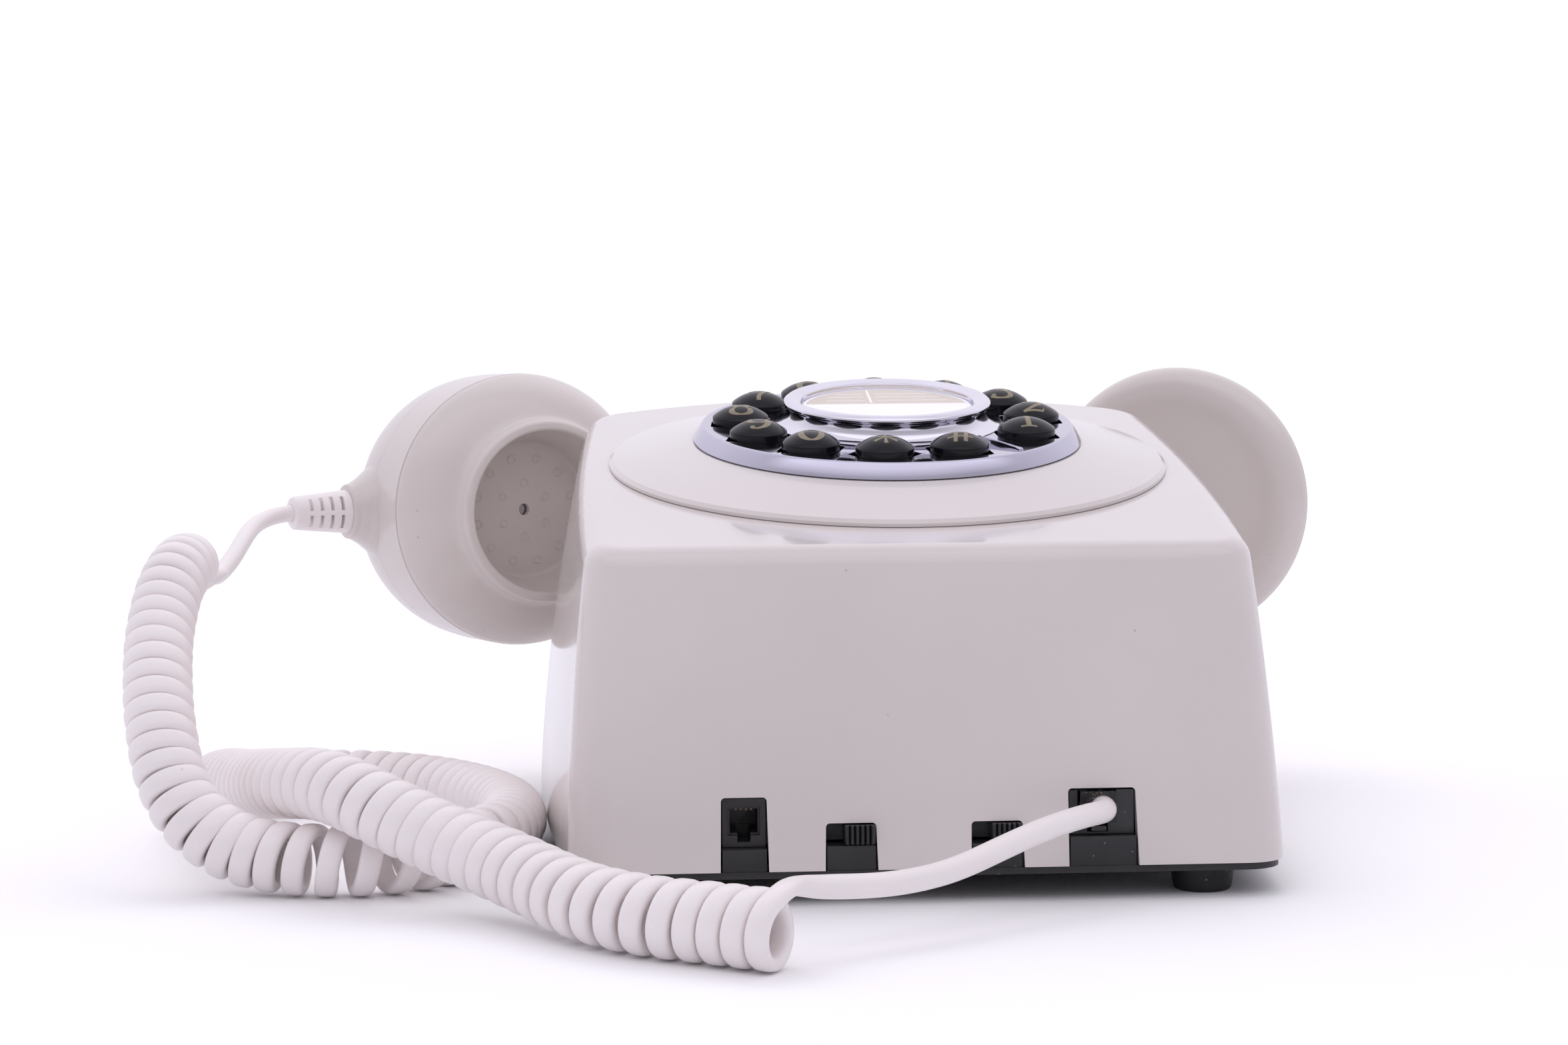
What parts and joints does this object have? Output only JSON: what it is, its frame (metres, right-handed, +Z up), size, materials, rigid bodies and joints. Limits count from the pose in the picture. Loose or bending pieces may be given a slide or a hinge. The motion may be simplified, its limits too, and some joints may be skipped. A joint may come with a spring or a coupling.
{
  "type": "corded landline phone",
  "caption": "Push-button desk or wall telephone with a chromed round dial, a handset across its far end, a curled cord, slide switches and modular sockets.",
  "frame": {"origin": "middle of the two wall keyholes, on the underside of the base plate", "axes": "+Z up out of the dial side, -Y towards the end with the sockets, +Y towards the handset, +X to the right when the dial is read"},
  "size_m": [0.2893, 0.2853, 0.1061],
  "materials": {
    "ivory_shell": "gloss moulded shell",
    "ivory_handset": "gloss moulded shell",
    "cord_ivory": "satin soft jacket",
    "black_base": "fine satin moulding",
    "black_socket": "satin moulding",
    "black_knob": "satin moulding",
    "key_black": "high gloss",
    "chrome_ring": "bright plating",
    "card_paper": "printed card",
    "window_clear": "clear polished",
    "foot_rubber": "matt",
    "mat_silicone": "matt",
    "board_green": "solder mask",
    "component_black": "moulded",
    "contact_gold": "plated",
    "plug_clear": "smoky clear",
    "screw_steel": "zinc plated",
    "bracket_steel": "zinc plated",
    "gong_brass": "polished",
    "coil_winding": "enamelled wire",
    "inner_plastic": "moulded",
    "capsule_metal": "pressed"
  },
  "bodies": {
    "base": {"base_plate": "black_base", "base_screws": "screw_steel", "bell_bracket": "bracket_steel", "bell_coil": "coil_winding", "board_components": "component_black", "board_screws": "screw_steel", "card_window": "window_clear", "cord_coil": "cord_ivory", "cord_lead_base": "cord_ivory", "dial_ring": "chrome_ring", "dial_surround": "ivory_shell", "gong_left": "gong_brass", "gong_right": "gong_brass", "gong_screws": "screw_steel", "handset_socket": "black_socket", "hook_bracket": "bracket_steel", "hook_springs": "screw_steel", "hook_switch": "inner_plastic", "hub_bezel": "chrome_ring", "key_guide": "black_base", "key_mat": "mat_silicone", "keypad_board": "board_green", "line_contacts": "contact_gold", "line_socket": "black_socket", "main_board": "board_green", "modular_plug": "plug_clear", "number_card": "card_paper", "plug_contacts": "contact_gold", "rubber_feet": "foot_rubber", "switch_bodies": "black_base", "upper_housing": "ivory_shell"},
    "handset": {"handset_shell": "ivory_handset", "mouth_cap": "ivory_handset", "ear_cap": "ivory_handset", "strain_relief_boot": "cord_ivory", "cord_lead_handset": "cord_ivory", "microphone_holder": "inner_plastic", "microphone_capsule": "capsule_metal", "receiver_capsule": "capsule_metal", "receiver_holder": "inner_plastic", "balance_weights": "bracket_steel"},
    "hook": {"hook_plunger": "inner_plastic"},
    "ringer_switch": {"ringer_switch_knob": "black_knob"},
    "volume_switch": {"volume_switch_knob": "black_knob"},
    "clapper": {"clapper": "bracket_steel"},
    "key_1": {"key_1": "key_black"},
    "key_2": {"key_2": "key_black"},
    "key_3": {"key_3": "key_black"},
    "key_4": {"key_4": "key_black"},
    "key_5": {"key_5": "key_black"},
    "key_6": {"key_6": "key_black"},
    "key_7": {"key_7": "key_black"},
    "key_8": {"key_8": "key_black"},
    "key_9": {"key_9": "key_black"},
    "key_0": {"key_0": "key_black"},
    "key_star": {"key_star": "key_black"},
    "key_hash": {"key_hash": "key_black"}
  },
  "joints": [
    {"name": "handset_lift", "type": "slide", "parent": "base", "child": "handset", "axis": [0, 1, 0], "range_m": [0, 0.12]},
    {"name": "hook_travel", "type": "slide", "parent": "base", "child": "hook", "axis": [0, 1, 0], "range_m": [0, 0.006]},
    {"name": "ringer_switch_slide", "type": "slide", "parent": "base", "child": "ringer_switch", "axis": [-1, 0, 0], "range_m": [0, 0.0035]},
    {"name": "volume_switch_slide", "type": "slide", "parent": "base", "child": "volume_switch", "axis": [-1, 0, 0], "range_m": [0, 0.0035]},
    {"name": "clapper_swing", "type": "hinge", "parent": "base", "child": "clapper", "pos_m": [0, -0.012, 0.0152], "axis": [0, 0, 1], "range_deg": [-5, 5]},
    {"name": "key_1_press", "type": "slide", "parent": "base", "child": "key_1", "axis": [0, 0.1908, -0.9816], "range_m": [0, 0.0015], "stiffness_N_per_m": 150},
    {"name": "key_2_press", "type": "slide", "parent": "base", "child": "key_2", "axis": [0, 0.1908, -0.9816], "range_m": [0, 0.0015], "stiffness_N_per_m": 150},
    {"name": "key_3_press", "type": "slide", "parent": "base", "child": "key_3", "axis": [0, 0.1908, -0.9816], "range_m": [0, 0.0015], "stiffness_N_per_m": 150},
    {"name": "key_4_press", "type": "slide", "parent": "base", "child": "key_4", "axis": [0, 0.1908, -0.9816], "range_m": [0, 0.0015], "stiffness_N_per_m": 150},
    {"name": "key_5_press", "type": "slide", "parent": "base", "child": "key_5", "axis": [0, 0.1908, -0.9816], "range_m": [0, 0.0015], "stiffness_N_per_m": 150},
    {"name": "key_6_press", "type": "slide", "parent": "base", "child": "key_6", "axis": [0, 0.1908, -0.9816], "range_m": [0, 0.0015], "stiffness_N_per_m": 150},
    {"name": "key_7_press", "type": "slide", "parent": "base", "child": "key_7", "axis": [0, 0.1908, -0.9816], "range_m": [0, 0.0015], "stiffness_N_per_m": 150},
    {"name": "key_8_press", "type": "slide", "parent": "base", "child": "key_8", "axis": [0, 0.1908, -0.9816], "range_m": [0, 0.0015], "stiffness_N_per_m": 150},
    {"name": "key_9_press", "type": "slide", "parent": "base", "child": "key_9", "axis": [0, 0.1908, -0.9816], "range_m": [0, 0.0015], "stiffness_N_per_m": 150},
    {"name": "key_0_press", "type": "slide", "parent": "base", "child": "key_0", "axis": [0, 0.1908, -0.9816], "range_m": [0, 0.0015], "stiffness_N_per_m": 150},
    {"name": "key_star_press", "type": "slide", "parent": "base", "child": "key_star", "axis": [0, 0.1908, -0.9816], "range_m": [0, 0.0015], "stiffness_N_per_m": 150},
    {"name": "key_hash_press", "type": "slide", "parent": "base", "child": "key_hash", "axis": [0, 0.1908, -0.9816], "range_m": [0, 0.0015], "stiffness_N_per_m": 150}
  ],
  "couplings": [
    {"joint": "hook_travel", "follows": "handset_lift", "ratio": 0.05}
  ]
}
